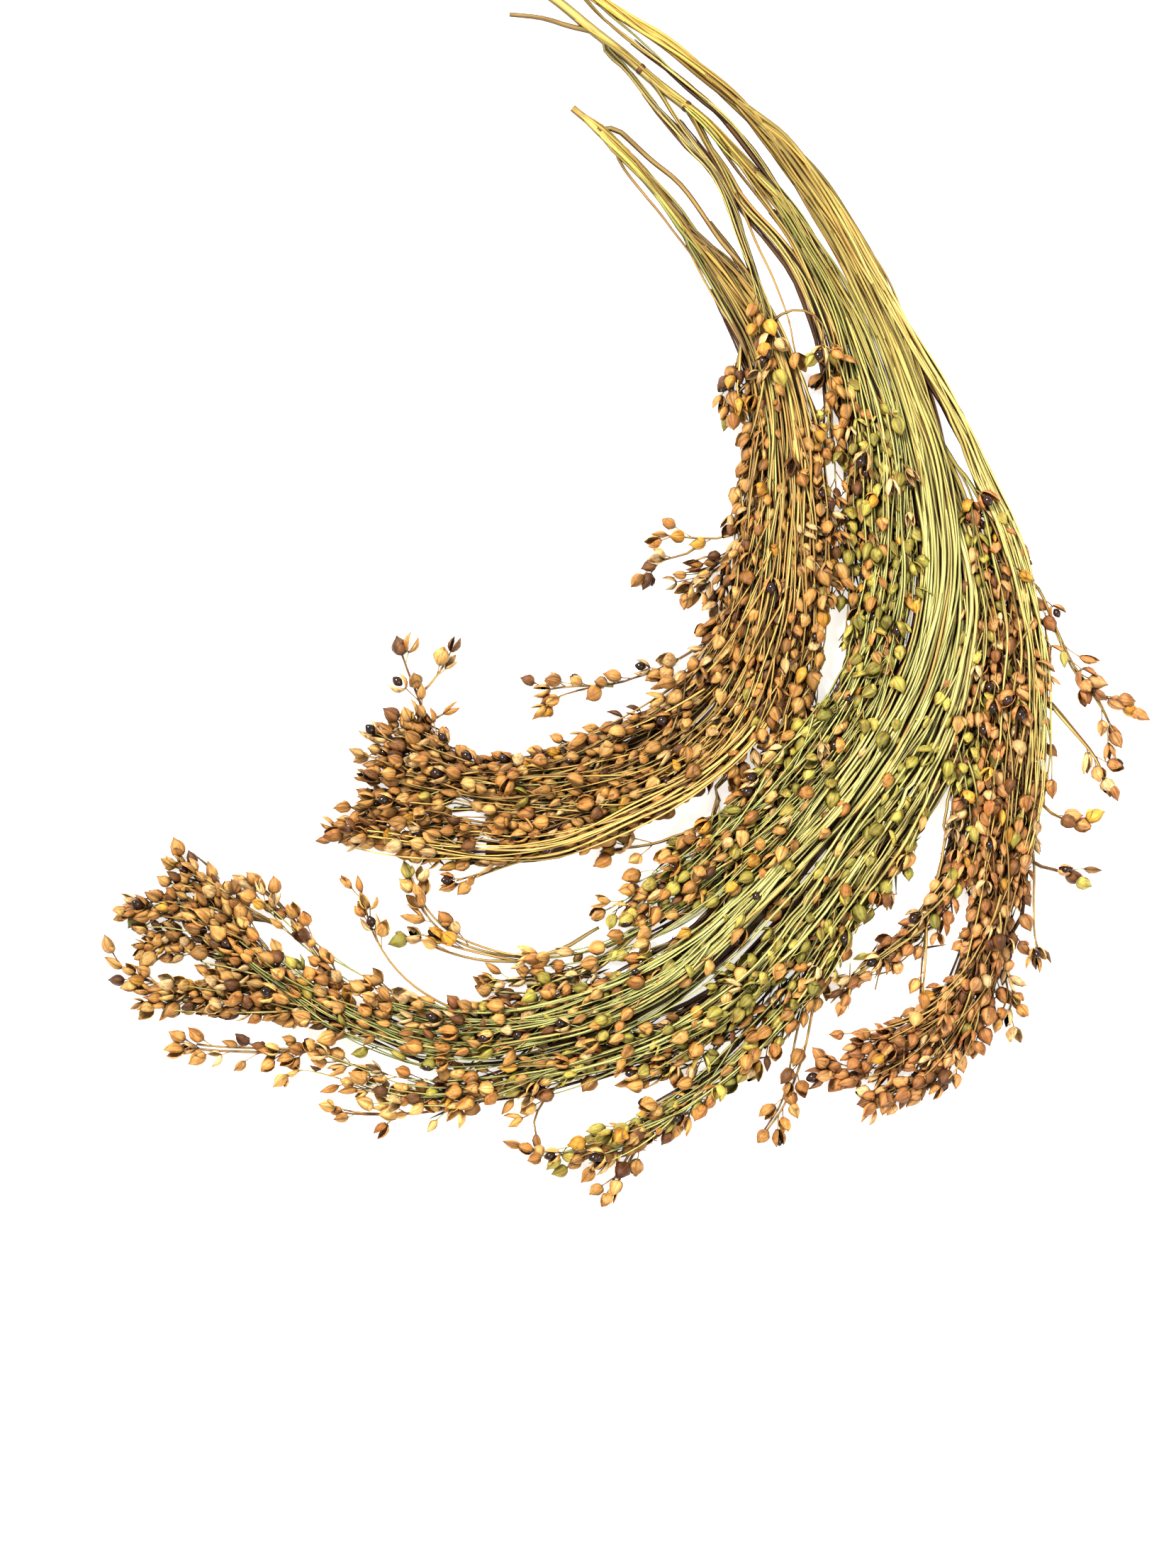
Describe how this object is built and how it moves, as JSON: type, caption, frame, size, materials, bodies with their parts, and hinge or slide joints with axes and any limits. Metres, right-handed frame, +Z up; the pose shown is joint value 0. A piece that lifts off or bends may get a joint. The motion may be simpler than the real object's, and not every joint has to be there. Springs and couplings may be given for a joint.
{
  "type": "dried proso millet bunch",
  "caption": "Loose bunch of cut and dried proso millet panicles lying flat, their thin stems sweeping in long curved tresses of pointed husks and small dark grains.",
  "frame": {"origin": "on the surface that the bunch lies on, under the middle of its outline", "axes": "+Z up from the surface, +Y towards the cut ends of the culms, +X to the side that the bunch bows out to"},
  "size_m": [0.2667, 0.3331, 0.0093],
  "materials": {
    "tan_husks": "dry papery straw-tan husks, satin",
    "green_husks": "dry papery olive and golden husks, satin",
    "brown_husks": "dry papery pinkish-brown husks, satin",
    "straw_stems": "dry ribbed straw-yellow stems, satin",
    "pale_green_stems": "dry ribbed pale green stems, satin",
    "dark_grains": "hard glossy near-black red-brown grains"
  },
  "bodies": {
    "root": {"panicle_left": "tan_husks", "panicle_middle": "green_husks", "panicle_right": "brown_husks"}
  },
  "joints": []
}
